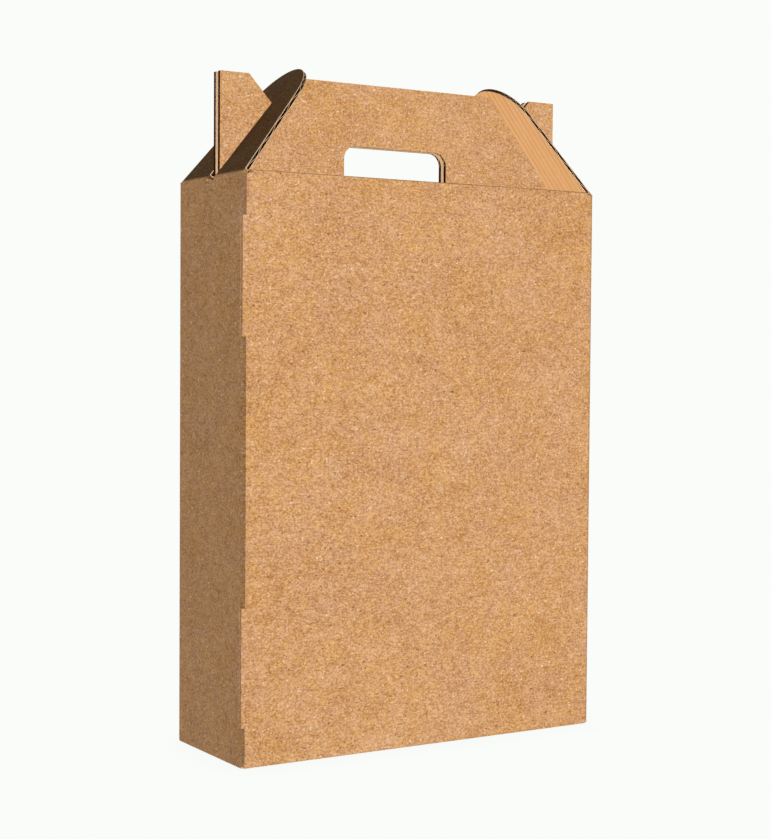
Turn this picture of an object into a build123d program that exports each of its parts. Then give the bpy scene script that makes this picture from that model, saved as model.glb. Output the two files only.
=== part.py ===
from build123d import *
import math
import os

# Carrier box for three wine bottles, folded from one sheet of kraft corrugated board.
# Millimetres. X runs along the front, Y from front to back, Z up.
# The origin is on the floor, under the middle of the box.

# Board
board = 2.6             # thickness of the corrugated board
corner_radius = 2.4     # outside radius of the upright corners
fold_radius = 1.2       # outside radius of the folds at the shoulder and under the front
crease_radius = 0.8     # inside radius where the shoulder turns up into the handle

# Body
width = 254.0
depth = 86.0
body_height = 346.0     # floor to shoulder
wall_foot = 0.3         # side and back walls stop this far above the floor
wall_foot_radius = 1.0  # their fold into the base

# Handle: the front and back panels meet over the middle and stand up side by side
handle_rise = 61.5      # shoulder to handle top
handle_gap = 3.0        # air between the two handle boards
hole_width = 75.2
hole_height = 21.5
hole_sill = 1.5         # shoulder to the lower edge of the hand hole
hole_corner = 8.0

# Ears: the hooks at the handle's ends that hold the side flaps down
ear_inset = 4.3         # side wall to the ear's outer edge
ear_width = 19.3        # along the ear's top
hook_reach = 60.7       # side crease to the corner of the hook, along the flap

# Side flaps
crease_drop = 2.1       # the side creases lie this far below the shoulder
flap_lean = 50.7        # degrees above level, leaning inward
flap_length = 89.5
flap_tip_radius = 30.0
flap_side_inset = 1.0   # front of the box to the flap's edge at the crease
flap_rest_gap = 0.3     # flap to the handle boards that it leans on
flap_end_gap = 0.5      # flap to the ends of the top panels
slot_side_gap = 0.5     # handle boards to the sides of the flap's slot
slot_swing_gap = 0.5    # ear to the end of the slot, as the flap swings over it
slot_corner = 1.5
slot_foot = 1.0         # the slot runs this far below the crease, into the side wall

# Lugs: two slits along the front left fold leave the front panel's raw edge standing
lug_length = 69.5
lug_end = 24.0          # each lug to the nearer end of the fold
slit_width = 0.3

# Base: the front's bottom panel outside, the other three flaps glued on top of it
base_gap = 0.4          # bottom panel to the walls around it
dust_flap_length = 62.0
back_flap_length = 30.0
base_flap_gap = 1.0     # between neighbouring flaps

# Glue flap that joins the blank up, inside the right wall
glue_flap_width = 32.0
glue_flap_end_gap = 6.0

# Bottle divider, a strip folded like a concertina
divider_board = 1.6
divider_height = 212.0
divider_gap = 0.5       # divider to the walls
fin_count = 2
fin_gap = 0.4           # between the two layers of a fin
fin_front_gap = 3.0     # fin to the front wall
fin_corner_cut = 26.0   # slanting cut at the fin's upper front corner

# Places that the sizes above settle
side = width / 2
front = -depth / 2
back = depth / 2
shoulder = body_height
crease = shoulder - crease_drop
handle_top = shoulder + handle_rise
handle_half = handle_gap / 2 + board
lean = math.radians(flap_lean)
shoulder_end = side - crease_drop / math.tan(lean) - board / math.sin(lean) - flap_end_gap
ear_end = side - ear_inset
ear_tip = ear_end - ear_width
slot_half = handle_half + slot_side_gap
base_end = side - board - base_gap
floor = 2 * board


def lean_point(reach, inside):
    # A point beside the left flap: reach runs up the flap, inside is how far under its outer face
    x = -side + reach * math.cos(lean) + inside * math.sin(lean)
    z = crease + reach * math.sin(lean) - inside * math.cos(lean)
    return x, z


hook = lean_point(hook_reach, board + flap_rest_gap)
rest_reach = (handle_rise + crease_drop + (board + flap_rest_gap) * math.cos(lean)) / math.sin(lean)
rest_top = lean_point(rest_reach, board + flap_rest_gap)
slot_reach = math.hypot(side - ear_tip, handle_top - crease) + slot_swing_gap


# The folded sheet: walls, base, shoulders and handle boards
with BuildPart() as carton:
    # Four walls, up to the side creases
    with BuildSketch(Plane.XY.offset(wall_foot)) as wall_ring:
        RectangleRounded(width, depth, corner_radius)
        Rectangle(width - 2 * board, depth - 2 * board, mode=Mode.SUBTRACT)
    extrude(amount=crease - wall_foot)
    foot_edges = carton.faces().sort_by(Axis.Z)[0].outer_wire().edges()
    fillet(foot_edges, wall_foot_radius)

    # Shoulders: front and back panels fold level, then up at the middle
    with BuildSketch(Plane.YZ) as shoulder_section:
        with BuildLine():
            Polyline(
                (front, shoulder),
                (-handle_half, shoulder),
                (-handle_half, shoulder + board),
                (-handle_gap / 2, shoulder + board),
                (-handle_gap / 2, shoulder - board),
                (front + board, shoulder - board),
                (front + board, crease - board),
                (front, crease - board),
                close=True,
            )
        make_face()
        outer_corners = shoulder_section.vertices().filter_by(
            lambda v: math.hypot(v.X - front, v.Y - shoulder) < 0.01
            or math.hypot(v.X + handle_gap / 2, v.Y - shoulder + board) < 0.01
        )
        fillet(outer_corners, fold_radius)
        inner_corner = shoulder_section.vertices().filter_by(
            lambda v: math.hypot(v.X + handle_half, v.Y - shoulder) < 0.01
        )
        fillet(inner_corner, crease_radius)
        mirror(about=Plane.YZ)
    extrude(amount=shoulder_end, both=True)

    # Handle boards, with a V notch inside each ear for the flap to lie in
    with BuildSketch(Plane.XZ) as handle_outline:
        with BuildLine():
            Polyline(
                (0, shoulder - board / 2),
                (-ear_end, shoulder - board / 2),
                (-ear_end, handle_top),
                (-ear_tip, handle_top),
                hook,
                rest_top,
                (0, handle_top),
            )
            mirror(about=Plane.YZ)
        make_face()
    extrude(amount=handle_half, both=True)
    with BuildSketch(Plane.XZ) as handle_air:
        with Locations((0, shoulder - board)):
            Rectangle(2 * ear_end, handle_rise + 2 * board, align=(Align.CENTER, Align.MIN))
    extrude(amount=handle_gap / 2, both=True, mode=Mode.SUBTRACT)

    # Hand hole through both handle boards, square at the shoulder and round above
    with BuildSketch(Plane.XZ) as hand_hole:
        with Locations((0, shoulder + hole_sill)):
            Rectangle(hole_width, hole_height, align=(Align.CENTER, Align.MIN))
        fillet(hand_hole.vertices().group_by(Axis.Y)[-1], hole_corner)
    extrude(amount=handle_half + 1, both=True, mode=Mode.SUBTRACT)

    # Bottom panel, folded back from the front panel
    with BuildSketch(Plane.YZ) as base_section:
        with BuildLine():
            Polyline(
                (front, floor),
                (front, 0),
                (back - board - base_gap, 0),
                (back - board - base_gap, board),
                (front + board, board),
                (front + board, floor),
                close=True,
            )
        make_face()
        fillet(base_section.vertices().group_by(Axis.Y)[0].sort_by(Axis.X)[0], fold_radius)
    extrude(amount=base_end, both=True)

    # Dust flaps from the side walls and a flap from the back wall, glued on the bottom panel
    with BuildSketch(Plane.XY.offset(board)) as glued_flaps:
        for end in (-1, 1):
            with Locations((end * (side - board / 2 - dust_flap_length / 2), 0)):
                Rectangle(dust_flap_length + board, depth - 2 * board - 2 * base_gap)
        back_flap_width = width - 2 * (board + dust_flap_length + base_flap_gap)
        with Locations((0, back - board / 2)):
            Rectangle(back_flap_width, back_flap_length + board / 2, align=(Align.CENTER, Align.MAX))
    extrude(amount=board)

    # Glue flap
    with BuildSketch(Plane.XY.offset(floor + glue_flap_end_gap)) as glue_flap:
        with Locations((side - board, back - board)):
            Rectangle(board, glue_flap_width, align=(Align.MAX, Align.MAX))
    extrude(amount=crease - floor - 2 * glue_flap_end_gap)

    # Slits along the front left fold, with the front panel's raw edge left standing as lugs
    for lug_low in (lug_end, crease - lug_end - lug_length):
        with BuildSketch(Plane.XY.offset(lug_low)) as lug:
            with Locations((-side, front)):
                Rectangle(2 * board, board, align=(Align.MIN, Align.MIN))
        extrude(amount=lug_length)
        with BuildSketch(Plane.XY.offset(lug_low)) as slit:
            with Locations((-side, front + board)):
                Rectangle(board, slit_width, align=(Align.MIN, Align.MIN))
        extrude(amount=lug_length, mode=Mode.SUBTRACT)

    # Feet of the flaps' slots, cut into the side walls
    with BuildSketch(Plane.YZ) as slot_feet:
        with Locations((0, crease)):
            Rectangle(2 * slot_half, 2 * slot_foot)
    for end in (-1, 1):
        extrude(
            slot_feet.sketch.moved(Location((end * side, 0, 0))),
            amount=board,
            both=True,
            mode=Mode.SUBTRACT,
        )
carton.part.label = "carton"


# A side flap lies in its own sloping plane: x across the box, y up the flap from its crease
flap_plane = Plane(
    origin=(-side, 0, crease),
    x_dir=(0, 1, 0),
    z_dir=(math.sin(lean), 0, -math.cos(lean)),
)

with BuildPart() as left_side_flap:
    with BuildSketch(flap_plane) as flap_outline:
        with BuildLine():
            Line((front + flap_side_inset, 0), (back - flap_side_inset, 0))
            CenterArc((0, flap_length - flap_tip_radius), flap_tip_radius, 0, 360)
        make_hull()
    extrude(amount=board)
    # The lower edge is mitred to sit level on the side wall
    split(bisect_by=Plane.XY.offset(crease), keep=Keep.TOP)
    # Slot for the double ear
    with BuildSketch(flap_plane) as flap_slot:
        with Locations((0, slot_reach)):
            Rectangle(2 * slot_half, slot_reach + board, align=(Align.CENTER, Align.MAX))
        fillet(flap_slot.vertices().group_by(Axis.Y)[-1], slot_corner)
    extrude(amount=board, mode=Mode.SUBTRACT)
left_side_flap.part.label = "left_side_flap"

with BuildPart() as right_side_flap:
    add(mirror(left_side_flap.part, about=Plane.YZ))
right_side_flap.part.label = "right_side_flap"


# Divider: back strip and doubled fins, one folded strip standing on the base flaps
divider_left = -side + board + divider_gap
divider_right = side - 2 * board - divider_gap
divider_back = back - board - divider_gap
fin_front = front + board + fin_front_gap
fin_pitch = (divider_right - divider_left) / (fin_count + 1)
fin_places = [(divider_left + fin_pitch * (n + 1), divider_back) for n in range(fin_count)]

with BuildPart() as bottle_divider:
    with BuildSketch(Plane.XY.offset(floor)) as divider_plan:
        with Locations((divider_left, divider_back)):
            Rectangle(divider_right - divider_left, divider_board, align=(Align.MIN, Align.MAX))
        with Locations(*fin_places):
            Rectangle(
                2 * divider_board + fin_gap, divider_back - fin_front, align=(Align.CENTER, Align.MAX)
            )
        fillet(divider_plan.vertices().group_by(Axis.Y)[0], divider_board)
        with Locations(*fin_places):
            Rectangle(
                fin_gap,
                divider_back - fin_front - divider_board,
                align=(Align.CENTER, Align.MAX),
                mode=Mode.SUBTRACT,
            )
    extrude(amount=divider_height)
    # Slanting cut at the fins' upper front corners
    divider_top = floor + divider_height
    with BuildSketch(Plane.YZ) as corner_cut:
        with BuildLine():
            Polyline(
                (fin_front, divider_top),
                (fin_front + fin_corner_cut, divider_top),
                (fin_front, divider_top - fin_corner_cut),
                close=True,
            )
        make_face()
    extrude(amount=side, both=True, mode=Mode.SUBTRACT)
bottle_divider.part.label = "bottle_divider"


os.makedirs("parts", exist_ok=True)
for piece in (carton, left_side_flap, right_side_flap, bottle_divider):
    export_step(piece.part, f"parts/{piece.part.label}.step")
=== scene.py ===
import math

import bmesh
import bpy
from mathutils import Matrix, Vector
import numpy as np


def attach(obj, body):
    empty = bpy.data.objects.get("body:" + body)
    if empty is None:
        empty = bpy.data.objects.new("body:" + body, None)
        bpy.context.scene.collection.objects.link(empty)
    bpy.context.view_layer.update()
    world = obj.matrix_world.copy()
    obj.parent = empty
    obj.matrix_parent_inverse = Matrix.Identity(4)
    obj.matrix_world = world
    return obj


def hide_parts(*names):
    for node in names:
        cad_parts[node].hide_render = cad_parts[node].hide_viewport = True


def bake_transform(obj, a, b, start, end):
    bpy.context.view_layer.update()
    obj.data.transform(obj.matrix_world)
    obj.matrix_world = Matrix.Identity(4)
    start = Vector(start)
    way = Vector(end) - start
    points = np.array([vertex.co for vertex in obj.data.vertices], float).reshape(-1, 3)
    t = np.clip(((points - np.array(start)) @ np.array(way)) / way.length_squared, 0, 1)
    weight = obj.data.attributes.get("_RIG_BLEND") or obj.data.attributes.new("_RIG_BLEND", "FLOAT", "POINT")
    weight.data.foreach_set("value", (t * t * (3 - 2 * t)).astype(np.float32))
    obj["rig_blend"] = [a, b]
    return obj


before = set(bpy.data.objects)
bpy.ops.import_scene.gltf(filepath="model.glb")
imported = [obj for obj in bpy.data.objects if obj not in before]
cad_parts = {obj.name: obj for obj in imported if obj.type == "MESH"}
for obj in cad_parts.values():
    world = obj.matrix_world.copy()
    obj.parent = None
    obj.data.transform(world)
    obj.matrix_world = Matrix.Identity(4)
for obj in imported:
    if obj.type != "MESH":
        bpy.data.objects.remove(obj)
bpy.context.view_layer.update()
mm = 0.001


def newMaterial(name):
    material = bpy.data.materials.new(name)
    material.use_nodes = True
    material.node_tree.nodes.clear()
    return material, material.node_tree


def addNode(tree, kind, settings=None, **inputs):
    # inputs are named as the sockets, with spaces left out
    node = tree.nodes.new(kind)
    for key, value in (settings or {}).items():
        setattr(node, key, value)
    for key, value in inputs.items():
        socket = next(s for s in node.inputs if s.name.replace(" ", "") == key and s.enabled)
        plug(tree, socket, value)
    return node


def plug(tree, socket, value):
    if isinstance(value, bpy.types.NodeSocket):
        tree.links.new(value, socket)
    else:
        socket.default_value = value


def mathNode(tree, operation, first, second=0.0, third=0.0, clamp=False):
    node = tree.nodes.new("ShaderNodeMath")
    node.operation = operation
    node.use_clamp = clamp
    for socket, value in zip(node.inputs, (first, second, third)):
        plug(tree, socket, value)
    return node.outputs[0]


def mixColour(tree, factor, first, second, blend="MIX"):
    node = tree.nodes.new("ShaderNodeMix")
    node.data_type = "RGBA"
    node.blend_type = blend
    for socket, value in zip((node.inputs[0], node.inputs[6], node.inputs[7]), (factor, first, second)):
        plug(tree, socket, value)
    return node.outputs[2]


def linear(colour):
    # a screen colour such as "d29f6d" as the linear value that a shader takes
    parts = [int(colour[i:i + 2], 16) / 255 for i in (0, 2, 4)]
    return tuple(c / 12.92 if c <= 0.04045 else ((c + 0.055) / 1.055) ** 2.4 for c in parts) + (1.0,)


def noiseAt(tree, place, stretch, detail=2.0, roughness=0.5, seed=0.0):
    # stretch is the size of one blot in millimetres along X, Y and Z
    mapping = addNode(tree, "ShaderNodeMapping", {"vector_type": "POINT"}, Vector=place,
                      Location=(seed, seed * 0.7, seed * 1.3), Scale=tuple(1000 / s for s in stretch))
    noise = addNode(tree, "ShaderNodeTexNoise", {"noise_dimensions": "3D"}, Vector=mapping.outputs[0],
                    Scale=1.0, Detail=detail, Roughness=roughness)
    return noise.outputs[0]


def addNoise(tree, level, noise, amount):
    # moves a level up or down by the noise about its middle
    return mathNode(tree, "MULTIPLY_ADD", mathNode(tree, "SUBTRACT", noise, 0.5), amount, level)


def spotAt(tree, noise, cut, soft, amount):
    node = addNode(tree, "ShaderNodeMapRange", Value=noise, FromMin=cut, FromMax=cut + soft,
                   ToMin=0.0, ToMax=amount)
    return node.outputs[0]


# Kraft liner: pressed pulp with short level fibres, pale and brown specks, and painted shade along cut
# borders and folds
linerLook = {
    "dark": "a06128",
    "light": "f5c38d",
    "pinkTint": (1.0, 1.02, 1.17, 1.0),
    "yellowTint": (1.0, 0.98, 0.83, 1.0),
    "cream": "f4d6b2",
    "brown": "7a4c26",
    "speck": (2.0, 2.0, 1.4),
    "speckSoft": 0.06,
    "creamCut": (0.675, 0.85),       # noise level where a speck begins, and its strength
    "brownCut": (0.69, 0.8),
    "edgeTone": "3a220e",            # colour of the painted shade along cut borders and folds
    "grain": (1.25, 1.25, 0.95),     # millimetres along X, Y and Z
    "fibre": (6.0, 6.0, 0.6),
    "blot": (9.0, 9.0, 6.5),
    "cloud": (32.0, 32.0, 26.0),
    "grainAmount": 1.65,
    "fibreAmount": 0.45,
    "blotAmount": 0.36,
    "cloudAmount": 0.20,
    "patch": (5.0, 5.0, 4.0),
    "patchAmount": 2.7,
    "hueCloudAmount": 1.5,
    "roughness": 0.86,
}


def kraftLiner(name, look):
    material, tree = newMaterial(name)
    place = addNode(tree, "ShaderNodeTexCoord").outputs["Object"]
    grain = noiseAt(tree, place, look["grain"], 2.0, 0.6)
    fibre = noiseAt(tree, place, look["fibre"], 2.0, 0.55, 31.0)
    blot = noiseAt(tree, place, look["blot"], 3.0, 0.55, 57.0)
    level = addNoise(tree, 0.5, grain, look["grainAmount"])
    level = addNoise(tree, level, fibre, look["fibreAmount"])
    level = addNoise(tree, level, blot, look["blotAmount"])
    cloud = noiseAt(tree, place, look["cloud"], 1.0, 0.5, 71.0)
    level = addNoise(tree, level, cloud, look["cloudAmount"])
    level = mathNode(tree, "MAXIMUM", mathNode(tree, "MINIMUM", level, 1.0), 0.0)
    colour = mixColour(tree, level, linear(look["dark"]), linear(look["light"]))

    # patches that lean to pink or to yellow
    patch = noiseAt(tree, place, look["patch"], 2.0, 0.6, 83.0)
    hue = addNoise(tree, 0.5, patch, look["patchAmount"])
    hueCloud = noiseAt(tree, place, look["cloud"], 1.0, 0.5, 97.0)
    hue = addNoise(tree, hue, hueCloud, look["hueCloudAmount"])
    tint = mixColour(tree, hue, look["yellowTint"], look["pinkTint"])
    colour = mixColour(tree, 1.0, colour, tint, "MULTIPLY")

    # pale and brown specks
    for seed, spotColour, kind in ((11.0, look["cream"], "creamCut"), (23.0, look["brown"], "brownCut")):
        cut, amount = look[kind]
        spots = noiseAt(tree, place, look["speck"], 1.0, 0.5, seed)
        spot = spotAt(tree, spots, cut, look["speckSoft"], amount)
        colour = mixColour(tree, spot, colour, linear(spotColour))

    # painted shade: cut borders and folds are darkened towards the shade colour by their face attribute
    edge = addNode(tree, "ShaderNodeAttribute", {"attribute_name": "paintedEdgeShade"}).outputs["Fac"]
    colour = mixColour(tree, edge, colour, linear(look["edgeTone"]))
    bump = addNode(tree, "ShaderNodeBump", Strength=0.05, Distance=0.0003, Height=grain)
    shader = addNode(tree, "ShaderNodeBsdfPrincipled", BaseColor=colour, Roughness=look["roughness"],
                     SpecularIORLevel=0.15, Normal=bump.outputs[0])
    addNode(tree, "ShaderNodeOutputMaterial", Surface=shader.outputs[0])
    return material


# Inner liner: smoother, warmer and lighter, with fine stripes along the flutes; part of its lightness is
# painted light, making up for the lamps' weaker light on the flaps' inner faces
innerLook = {
    "dark": "f0ad6c",
    "light": "ffc68e",
    "stripeTint": (0.855, 0.81, 0.72, 1.0),
    "stripePitch": 4.25,         # millimetres
    "stripeStrength": 1.9,
    "streak": (55.0, 0.9, 55.0),
    "roughness": 0.8,
}


def kraftInside(name, look):
    material, tree = newMaterial(name)
    place = addNode(tree, "ShaderNodeTexCoord").outputs["Object"]
    level = addNoise(tree, 0.5, noiseAt(tree, place, (2.2, 1.0, 2.2), 2.0, 0.6, 5.0), 1.1)
    level = addNoise(tree, level, noiseAt(tree, place, look["streak"], 2.0, 0.6, 15.0), 1.8)
    level = mathNode(tree, "MAXIMUM", mathNode(tree, "MINIMUM", level, 1.0), 0.0)
    colour = mixColour(tree, level, linear(look["dark"]), linear(look["light"]))
    across = addNode(tree, "ShaderNodeSeparateXYZ", Vector=place).outputs[1]
    turn = mathNode(tree, "MULTIPLY", across, 2 * math.pi * 1000 / look["stripePitch"])
    wave = mathNode(tree, "MULTIPLY_ADD", mathNode(tree, "COSINE", turn), 0.5, 0.5)
    fade = noiseAt(tree, place, (30.0, 6.0, 30.0), 1.0, 0.5, 41.0)
    stripe = mathNode(tree, "MULTIPLY", wave, mathNode(tree, "MULTIPLY", fade, look["stripeStrength"]))
    striped = mixColour(tree, 1.0, colour, look["stripeTint"], "MULTIPLY")
    colour = mixColour(tree, stripe, colour, striped)
    shader = addNode(tree, "ShaderNodeBsdfPrincipled", BaseColor=colour, Roughness=look["roughness"],
                     SpecularIORLevel=0.15)
    addNode(tree, "ShaderNodeOutputMaterial", Surface=shader.outputs[0])
    return material


def plainKraft(name, dark, light, blot, roughness=0.9, gloss=0.1):
    # a small or hidden face: two tones and one size of blot, in millimetres
    material, tree = newMaterial(name)
    place = addNode(tree, "ShaderNodeTexCoord").outputs["Object"]
    fuzz = addNoise(tree, 0.5, noiseAt(tree, place, (blot, blot, blot), 2.0, 0.6, 3.0), 2.0)
    colour = mixColour(tree, fuzz, linear(dark), linear(light))
    shader = addNode(tree, "ShaderNodeBsdfPrincipled", BaseColor=colour, Roughness=roughness,
                     SpecularIORLevel=gloss)
    addNode(tree, "ShaderNodeOutputMaterial", Surface=shader.outputs[0])
    return material


outerLiner = kraftLiner("kraftOuterLiner", linerLook)
innerLiner = kraftInside("kraftInnerLiner", innerLook)
# inner liner between the handle boards, duller and darker than the open inner liner: painted shade of the
# narrow gap
shadedGapLiner = plainKraft("kraftBetweenHandlesShaded", "c59c75", "e2bb94", 1.6)
cutEdge = plainKraft("kraftCutEdge", "dcb288", "f6d8b4", 0.8)
flutePaper = plainKraft("kraftFlutePaper", "cda070", "ecc699", 0.9)
# painted near-black shade for the sunk core of each cut edge, where the flutes' tunnels lie in shade
hollowShade = plainKraft("kraftHollowPaintedShade", "1c0902", "38190a", 2.0, 0.9, 0.0)
boardMaterials = [outerLiner, innerLiner, shadedGapLiner, cutEdge, flutePaper, hollowShade]
outerFace, innerFace, shadedGapFace, rimFace, fluteFace, hollowShadeFace = range(6)
dividerLook = dict(linerLook, dark="a9733f", light="deab76", grain=(0.9, 0.9, 0.9), grainAmount=1.5,
                   edgeTone="8d6640")
dividerLiner = kraftLiner("kraftDividerLiner", dividerLook)
print("materials ready")


# Corrugated board, as it shows where it is cut
boardLook = {
    "thickness": 2.6 * mm,
    "border": 0.30 * mm,         # crushed border of each liner
    "crush": 0.06 * mm,          # how far the border's outer corner is pressed back
    "liner": 0.05 * mm,          # flat rim that is left beside it
    "recess": 1.6 * mm,          # how far the core lies back from a cut edge
    "flutePitch": 3.403 * mm,
    "flutePaper": 0.42 * mm,
    "fluteBack": 0.06 * mm,      # the fluted paper's cut edge lies this far behind the liners'
}
flapBoardLook = dict(boardLook, border=0.18 * mm, crush=0.10 * mm, liner=0.24 * mm,
                     flutePaper=0.34 * mm)


def openCutEdge(bm, faces, across, through, borderShade, look=boardLook):
    # crushes the borders of a cut edge, sinks its middle and stands the fluted paper there
    # borderShade gives the painted shade of a border from the way that it faces, or is None for bare pale
    # paper
    # across is square to the flutes, through runs from one liner to the other
    if not faces:
        return
    border = bmesh.ops.inset_region(bm, faces=faces, thickness=look["border"], depth=0.0,
                                    use_boundary=True, use_even_offset=True)["faces"]
    kept = {v for face in faces for v in face.verts}
    moves = {}
    for face in border:
        face.normal_update()
        for v in face.verts:
            if v not in kept:
                normals = moves.setdefault(v, [])
                if all(face.normal.dot(n) < 0.9999 for n in normals):
                    normals.append(face.normal.copy())
    for face in border:
        cutNormal = face.normal.copy()
        if borderShade is None:
            face.material_index = rimFace
            shadeFold(bm, face, lambda p: cutNormal)
        else:
            face.material_index = outerFace
            face[bm.faces.layers.float["paintedEdgeShade"]] = borderShade(cutNormal)
    for v, normals in moves.items():
        shift = normals[0]
        if len(normals) > 1:
            shift = (normals[0] + normals[1]) / (1 + normals[0].dot(normals[1]))
        v.co -= shift * look["crush"]
    rim = bmesh.ops.inset_region(bm, faces=faces, thickness=look["liner"], depth=0.0,
                                 use_boundary=True, use_even_offset=True)["faces"]
    wall = bmesh.ops.inset_region(bm, faces=faces, thickness=0.00002, depth=-look["recess"],
                                  use_boundary=True, use_even_offset=True)["faces"]
    for face in rim:
        face.normal_update()
        face.material_index = rimFace if borderShade is None else outerFace
        face[bm.faces.layers.float["paintedEdgeShade"]] = 0.0 if borderShade is None else borderShade(face.normal)
    # the sunk walls and floor take the painted shade
    for face in wall + faces:
        face.material_index = hollowShadeFace
    riseEdges = {e for f in wall for e in f.edges} - {e for f in faces for e in f.edges}
    patches = []
    for face in faces:
        if len(face.verts) != 4:
            continue
        alongThrough = lambda e: abs((e.verts[1].co - e.verts[0].co).normalized().dot(through))
        ends = sorted(face.edges, key=lambda e: -alongThrough(e))[:2]
        patch = []
        for edge in ends:
            low = sum((v.co for v in edge.verts), Vector()) / 2
            tops = []
            for v in edge.verts:
                tops += [e.other_vert(v).co for e in v.link_edges if e in riseEdges]
            patch.append((low.copy(), (tops[0] + tops[1]) / 2))
        patches.append(patch)
    for patch in patches:
        standFlutes(bm, patch, across, through, look)


def standFlutes(bm, patch, across, through, look):
    (lowA, topA), (lowB, topB) = patch
    run = topB - topA
    if run.length < 0.00005 or abs(run.dot(across)) < 0.05 * run.length:
        return
    reach = look["thickness"] / 2 - look["border"] - look["liner"] - look["flutePaper"] / 2
    wave = 2 * math.pi / look["flutePitch"]
    turns = abs(run.dot(across)) / look["flutePitch"]
    count = max(1, math.ceil(turns * 14))
    back = look["fluteBack"] / look["recess"]
    rows = []
    for step in range(count + 1):
        part = step / count
        low, top = lowA.lerp(lowB, part), topA.lerp(topB, part)
        top = top.lerp(low, back)
        phase = top.dot(across) * wave
        side = reach * math.cos(phase)
        slope = -reach * wave * math.sin(phase) * run.normalized().dot(across)
        lean = (through - run.normalized() * slope).normalized() * look["flutePaper"] / 2
        middle = through * side
        rows.append([bm.verts.new(q) for q in (low + middle - lean, top + middle - lean,
                                               top + middle + lean, low + middle + lean)])
    for first, second in zip(rows, rows[1:]):
        for k in range(3):
            face = bm.faces.new((first[k], first[k + 1], second[k + 1], second[k]))
            face.material_index = fluteFace if k == 1 else hollowShadeFace
    for row in (rows[0], rows[-1]):
        bm.faces.new(row).material_index = hollowShadeFace


def newBoard():
    # foldNormal holds the way that a fold's rows are shaded, the float layer how much painted shade a border
    # or fold takes
    bm = bmesh.new()
    bm.loops.layers.float_vector.new("foldNormal")
    bm.faces.layers.float.new("paintedEdgeShade")
    return bm


def shadeFold(bm, face, normalAt, dark=0.0):
    foldNormal = bm.loops.layers.float_vector["foldNormal"]
    face.smooth = True
    face[bm.faces.layers.float["paintedEdgeShade"]] = dark
    for loop in face.loops:
        loop[foldNormal] = normalAt(loop.vert.co).normalized()


def meshObject(name, bm, materials):
    mesh = bpy.data.meshes.new(name)
    bm.to_mesh(mesh)
    bm.free()
    if "foldNormal" in mesh.attributes:
        normals = [tuple(item.vector) for item in mesh.attributes["foldNormal"].data]
        mesh.attributes.remove(mesh.attributes["foldNormal"])
        mesh.normals_split_custom_set(normals)
    thing = bpy.data.objects.new(name, mesh)
    bpy.context.scene.collection.objects.link(thing)
    for material in materials:
        mesh.materials.append(material)
    thing.visible_diffuse = False        # the pieces take their light from the lamps and the world alone
    return thing


# The folded sheet: walls, base, shoulders and handle boards
cartonLook = {
    "side": 127.0 * mm,
    "front": 43.0 * mm,
    "board": 2.6 * mm,
    "shoulder": 346.0 * mm,
    "cornerRadius": 2.4 * mm,
    "foldRadius": 1.2 * mm,
    "handleRoot": 347.2 * mm,    # above the fold at the handle's foot
    "shoulderEnd": 121.42 * mm,
    "shoulderCuts": (-40.0 * mm, -5.5 * mm, 5.5 * mm, 40.0 * mm),
    "foldLine": 0.35 * mm,       # height of the dark line along the shoulder
    "underShade": 0.25,          # painted shade on cut borders that face down, less than on the others
    "foldWear": 0.08,            # painted shade on the bottom fold and on the corners' folds
}


def foldShade(look, c, n):
    # shading direction at a point and the strength of its painted shade, for a fold's row with middle c and
    # normal n, or None
    side, front, radius = look["side"], look["front"], look["cornerRadius"]
    if max(abs(n.x), abs(n.y), abs(n.z)) > 0.998:
        return None
    if c.z < 1.4 * mm and n.z < -0.02 and (abs(n.x) > 0.02 or abs(n.y) > 0.02):
        flat = Vector((n.x, n.y, 0))
        return (lambda p: flat), look["foldWear"] if n.z < -0.2 else 0.0
    high = c.z > look["shoulder"] - look["foldRadius"] - 1e-5
    outside = abs(c.y) > front - look["foldRadius"] - 1e-5
    if high and outside and n.z > 0.02:
        out = math.copysign(1.0, c.y)
        low = look["shoulder"] - look["foldLine"]
        return (lambda p: Vector((0, out, 0)) if p.z < low else Vector((0, 0.55 * out, 0.835))), 0.0
    if abs(c.x) > side - radius and abs(c.y) > front - radius and abs(n.z) < 0.1:
        if c.x < 0 and c.y < 0:
            return (lambda p: Vector((-1, 0, 0))), 0.0
        middle = Vector((math.copysign(side - radius, c.x), math.copysign(front - radius, c.y), 0))
        return (lambda p: Vector((p.x - middle.x, p.y - middle.y, 0))), look["foldWear"]
    return None


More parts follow.
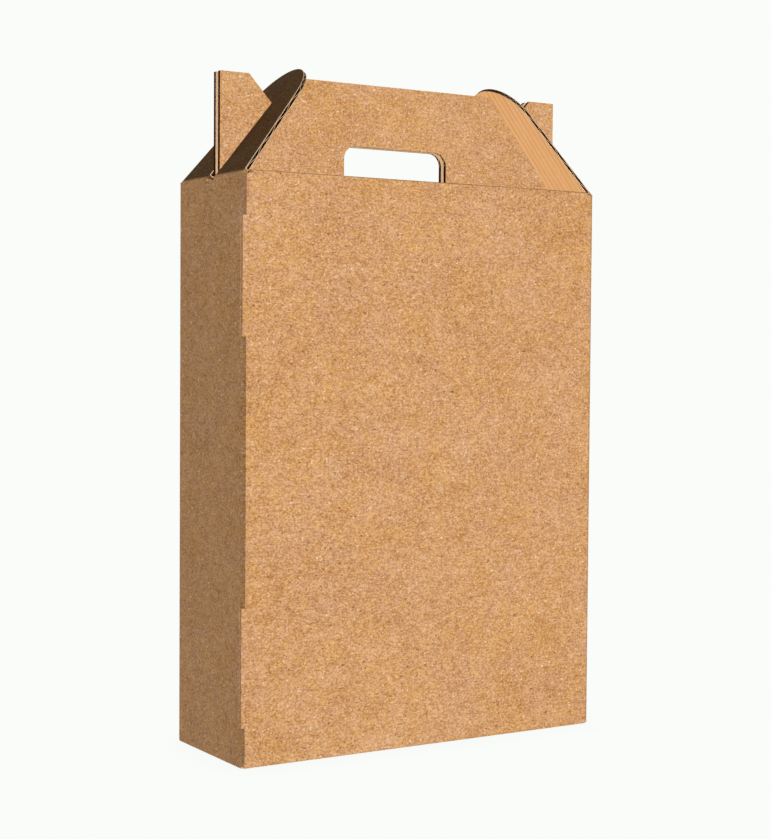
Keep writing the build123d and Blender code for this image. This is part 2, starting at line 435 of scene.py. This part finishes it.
def buildCarton(look):
    bm = newBoard()
    bm.from_mesh(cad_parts["carton"].data)
    bmesh.ops.remove_doubles(bm, verts=bm.verts, dist=1e-6)
    bmesh.ops.dissolve_limit(bm, angle_limit=0.001, verts=bm.verts, edges=bm.edges)
    # the level stretch of each shoulder panel's end becomes a face of its own
    for place in look["shoulderCuts"]:
        ends = [f for f in bm.faces if abs(abs(f.calc_center_median().x) - look["shoulderEnd"]) < 0.05 * mm]
        geometry = ends + list({e for f in ends for e in f.edges}) + list({v for f in ends for v in f.verts})
        bmesh.ops.bisect_plane(bm, geom=geometry, dist=1e-6, plane_co=(0, place, 0), plane_no=(0, 1, 0))
    bm.normal_update()
    side, front, board = look["side"], look["front"], look["board"]
    handle, shoulderEnds, lugs = [[], []], [], []
    for face in bm.faces:
        face.material_index = outerFace
        face.smooth = False
        c, n = face.calc_center_median(), face.normal
        inRoom = (abs(c.x) < side - board + 1e-5 and abs(c.y) < front - board + 1e-5
                  and board + 1e-5 < c.z < look["shoulder"] - board + 1e-5)
        if inRoom:
            face.material_index = innerFace
        if abs(c.y) < 1.51 * mm and c.z > look["shoulder"] - board:
            face.material_index = shadedGapFace
        fold = foldShade(look, c, n)
        if fold:
            shadeFold(bm, face, *fold)
        if c.z > look["handleRoot"] and abs(n.y) < 0.2:
            handle[c.y > 0].append(face)
        elif abs(abs(c.x) - look["shoulderEnd"]) < 0.05 * mm and abs(n.x) > 0.99 and len(face.verts) == 4:
            shoulderEnds.append(face)
        elif abs(c.x + side) < 1e-5 and c.y < -front + board and n.x < -0.99 and face.calc_area() < 0.0003:
            lugs.append(face)
    # the handle's and lugs' cut borders take painted shade, full where they face up or sideways, less where
    # they face down
    handleShade = lambda n: look["underShade"] if n.z < -0.3 else 1.0
    for faces in handle:
        openCutEdge(bm, faces, Vector((1, 0, 0)), Vector((0, 1, 0)), handleShade)
    openCutEdge(bm, lugs, Vector((1, 0, 0)), Vector((0, 1, 0)), handleShade)
    # the shoulders' cut ends take a light painted shade
    openCutEdge(bm, shoulderEnds, Vector((1, 0, 0)), Vector((0, 0, 1)), lambda n: 0.2)
    piece = meshObject("folded_sheet", bm, boardMaterials)
    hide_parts("carton")
    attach(piece, "box")
    return piece


carton = buildCarton(cartonLook)
print("folded sheet ready")


crease = (127.0 * mm, 343.9 * mm)        # of both side flaps, out from the middle and up

# Side flaps, each with a slot that drops over the double ear
flapLook = {
    "lean": 50.7,
    "halfBase": 42.0 * mm,
    "length": 89.48 * mm,
    "tipRadius": 30.0 * mm,
    "tipSteps": 48,
    "cornerSteps": 6,
    "slotHalf": 4.6 * mm,
    "slotReach": 61.2 * mm,      # the slot's end rests in the ear's notch
    "slotCorner": 1.5 * mm,
    "slotFootShade": 0.85,       # painted shade on the slot's foot, deep in the fold
    "board": 2.6 * mm,
    "foldRows": (0.9 * mm, 3.4 * mm),     # the rounded fold turns between these two heights up the flap
}


footPoints = 6                           # outline points at each side of the slot's foot


def flapOutline(look):
    # across and up the flap from the middle of its crease, going round once
    tipUp = look["length"] - look["tipRadius"]
    reach = math.hypot(look["halfBase"], tipUp)
    turn = math.atan2(-tipUp, look["halfBase"]) + math.acos(look["tipRadius"] / reach)
    slot, end, corner, (low, high) = look["slotHalf"], look["slotReach"], look["slotCorner"], look["foldRows"]
    tangent = (look["tipRadius"] * math.cos(turn), tipUp + look["tipRadius"] * math.sin(turn))
    sideRun = (tangent[0] - look["halfBase"]) / tangent[1]
    points = [(slot, high), (slot, low), (slot, 0.0), (look["halfBase"], 0.0)]
    points += [(look["halfBase"] + sideRun * row, row) for row in (low, high)]
    steps = look["tipSteps"]
    for k in range(steps + 1):
        angle = turn + (math.pi - 2 * turn) * k / steps
        points.append((look["tipRadius"] * math.cos(angle), tipUp + look["tipRadius"] * math.sin(angle)))
    points += [(-u, v) for u, v in reversed(points[:footPoints])]
    for centre, start in ((-slot + corner, math.pi), (slot - corner, math.pi / 2)):
        for k in range(look["cornerSteps"] + 1):
            angle = start - math.pi / 2 * k / look["cornerSteps"]
            points.append((centre + corner * math.cos(angle), end - corner + corner * math.sin(angle)))
    return points, sideRun


def buildFlap(name, node, body, end, look):
    lean = math.radians(look["lean"])
    up = Vector((-end * math.cos(lean), 0, math.sin(lean)))
    outward = Vector((end * math.sin(lean), 0, math.cos(lean)))
    origin = Vector((end * crease[0], 0, crease[1]))
    across = Vector((0, 1, 0))
    outline, sideRun = flapOutline(look)
    mitre = look["board"] / math.tan(lean)           # the inner face starts this far up
    low, high = look["foldRows"]
    bm = newBoard()
    outer, inner = [], []
    for u, v in outline:
        outer.append(bm.verts.new(origin + across * u + up * v))
        if v < look["foldRows"][1]:
            rise = mitre if v == 0.0 else mitre + 0.4 * mm
            if abs(u) > look["slotHalf"] + 1e-6:
                u += math.copysign(sideRun * (rise - v), u)
            v = rise
        inner.append(bm.verts.new(origin + across * u + up * v - outward * look["board"]))
    count = len(outline)
    last = footPoints + look["tipSteps"] + 1
    rows = []
    for first in (0, last):
        a, b, c, d, e, f = outer[first:first + footPoints]
        rows += [bm.faces.new((b, c, d, e)), bm.faces.new((a, b, e, f))]
    above = [outer[0]] + outer[5:last + 1] + outer[last + 5:]
    outerSide, innerSide = bm.faces.new(above), bm.faces.new(list(reversed(inner)))
    outerSide.material_index, innerSide.material_index = outerFace, innerFace
    cut = []
    for k in range(count):
        j = (k + 1) % count
        face = bm.faces.new((outer[k], inner[k], inner[j], outer[j]))
        face.material_index = outerFace
        if min(outline[k][1], outline[j][1]) > high - 1e-9:
            cut.append(face)
        elif max(abs(outline[k][0]), abs(outline[j][0])) < look["slotHalf"] + 1e-6:
            # the slot's foot faces take painted shade
            face[bm.faces.layers.float["paintedEdgeShade"]] = look["slotFootShade"]
    bmesh.ops.recalc_face_normals(bm, faces=bm.faces)
    bm.normal_update()
    wallNormal = Vector((end, 0, 0))

    def foldedNormal(point):
        rise = (point - origin).dot(up)
        return wallNormal.lerp(outward, max(0.0, (rise - low) / (high - low)))

    for face in rows:
        shadeFold(bm, face, foldedNormal)
    openCutEdge(bm, cut, across, outward, None, flapBoardLook)
    piece = meshObject(name, bm, boardMaterials)
    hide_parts(node)
    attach(piece, body)
    return piece


buildFlap("left_flap_sheet", "left_side_flap", "left_flap", -1, flapLook)
buildFlap("right_flap_sheet", "right_side_flap", "right_flap", 1, flapLook)
print("flaps ready")


# Crease rolls: the inner liner as it bends round each side crease, folded away while the box is closed
rollLook = {
    "wallRadius": 2.35 * mm,
    "flapRadius": 3.0 * mm,
    "skin": 0.3 * mm,
    "half": 0.25 * mm,           # folded, it reaches this far below and above the crease
    "from": 4.9 * mm,
    "to": 41.6 * mm,
    "rows": 16,
}


def buildCreaseRoll(name, body, end, look):
    bm = newBoard()
    side, foldZ = crease
    for low, high in ((-look["to"], -look["from"]), (look["from"], look["to"])):
        rows = []
        for k in range(look["rows"] + 1):
            part = k / look["rows"]
            radius = look["wallRadius"] + (look["flapRadius"] - look["wallRadius"]) * part
            z = foldZ + look["half"] * (2 * part - 1)
            inside = radius - look["skin"]
            corners = ((radius, low), (radius, high), (inside, high), (inside, low))
            rows.append([bm.verts.new((end * (side - r), y, z)) for r, y in corners])
        for first, second in zip(rows, rows[1:]):
            for k in range(4):
                bm.faces.new((first[k], first[(k + 1) % 4], second[(k + 1) % 4], second[k]))
        bm.faces.new(rows[0])
        bm.faces.new(rows[-1])
    bmesh.ops.recalc_face_normals(bm, faces=bm.faces)
    for face in bm.faces:
        face.smooth = len(face.verts) == 4
    piece = meshObject(name, bm, [innerLiner])
    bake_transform(piece, "box", body, start=(end * side, 0, foldZ - look["half"]),
             end=(end * side, 0, foldZ + look["half"]))
    return piece


buildCreaseRoll("left_crease_roll", "left_flap", -1, rollLook)
buildCreaseRoll("right_crease_roll", "right_flap", 1, rollLook)

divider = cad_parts["bottle_divider"]
divider.data.materials.clear()
divider.data.materials.append(dividerLiner)
divider.visible_diffuse = False
print("crease rolls and divider ready")


# Floor: an even glow, with a faint painted contact shadow from an ambient occlusion node
stageLook = {"colour": "fafcf9", "size": 12.0, "contact": 0.05, "contactReach": 0.03}


def buildStage(look):
    mesh = bpy.data.meshes.new("floor")
    half = look["size"] / 2
    corners = [(-half, -half, 0), (half, -half, 0), (half, half, 0), (-half, half, 0)]
    mesh.from_pydata(corners, [], [(0, 1, 2, 3)])
    floor = bpy.data.objects.new("floor", mesh)
    bpy.context.scene.collection.objects.link(floor)
    floor.location.z = -0.0002
    material, tree = newMaterial("paleFloor")
    paintedFloorShadow = addNode(tree, "ShaderNodeAmbientOcclusion", {"samples": 12}, Distance=look["contactReach"])
    colour = mixColour(tree, look["contact"], linear(look["colour"]), paintedFloorShadow.outputs["AO"], "MULTIPLY")
    emission = addNode(tree, "ShaderNodeEmission", Color=colour, Strength=1.0)
    addNode(tree, "ShaderNodeOutputMaterial", Surface=emission.outputs[0])
    mesh.materials.append(material)
    floor.visible_diffuse = False
    floor.visible_shadow = False
    return floor


floor = buildStage(stageLook)


# Light: soft lamps from below and in front, as in a flatly lit catalogue picture, and one from behind
lightLook = {
    "ambient": (0.057, 0.056, 0.053, 1.0),
    "lamps": (
        # name, direction towards the lamp, level (1 shows a facing colour as written), softness, shadow
        ("frontLamp", (0.10, -0.86, -0.50), 0.60, 4.0, False),
        ("lowLeftLamp", (-0.50, -0.55, -0.67), 0.80, 4.0, False),
        ("backLamp", (0.62, 0.45, 0.64), 0.90, 12.0, True),
    ),
}


def buildLight(look):
    world = bpy.data.worlds.new("studio")
    bpy.context.scene.world = world
    world.use_nodes = True
    tree = world.node_tree
    tree.nodes.clear()
    path = addNode(tree, "ShaderNodeLightPath")
    seen = mathNode(tree, "MAXIMUM", path.outputs["Is Camera Ray"], path.outputs["Is Glossy Ray"])
    seen = mathNode(tree, "MAXIMUM", seen, path.outputs["Is Transmission Ray"])
    shade = addNode(tree, "ShaderNodeBackground", Color=look["ambient"], Strength=1.0)
    backdrop = addNode(tree, "ShaderNodeBackground", Color=linear(stageLook["colour"]), Strength=1.0)
    mix = tree.nodes.new("ShaderNodeMixShader")
    tree.links.new(seen, mix.inputs[0])
    tree.links.new(shade.outputs[0], mix.inputs[1])
    tree.links.new(backdrop.outputs[0], mix.inputs[2])
    addNode(tree, "ShaderNodeOutputWorld", Surface=mix.outputs[0])
    for name, towards, level, softness, shadow in look["lamps"]:
        lamp = bpy.data.lights.new(name, "SUN")
        lamp.energy = level * math.pi
        lamp.angle = math.radians(softness)
        lamp.use_shadow = shadow
        thing = bpy.data.objects.new(name, lamp)
        bpy.context.scene.collection.objects.link(thing)
        thing.rotation_mode = "QUATERNION"
        thing.rotation_quaternion = Vector(towards).to_track_quat("Z", "Y")
        thing.location = Vector(towards).normalized() * 3


buildLight(lightLook)


cameraLook = {
    "place": (-0.57761, -0.92941, 0.24135),
    "turn": 31.690,      # degrees right of straight ahead
    "dip": 2.199,
    "roll": 0.396,
    "lens": 74.167,
}


def buildCamera(look):
    data = bpy.data.cameras.new("camera")
    data.sensor_width = 36
    data.lens = look["lens"]
    data.clip_start = 0.05
    data.clip_end = 50
    camera = bpy.data.objects.new("camera", data)
    bpy.context.scene.collection.objects.link(camera)
    turn = Matrix.Rotation(-math.radians(look["turn"]), 4, "Z")
    tilt = Matrix.Rotation(math.radians(90 - look["dip"]), 4, "X")
    roll = Matrix.Rotation(math.radians(look["roll"]), 4, "Z")
    camera.matrix_world = Matrix.Translation(look["place"]) @ turn @ tilt @ roll
    bpy.context.scene.camera = camera


buildCamera(cameraLook)
bpy.context.scene.view_settings.view_transform = "Standard"
print("camera and light ready")
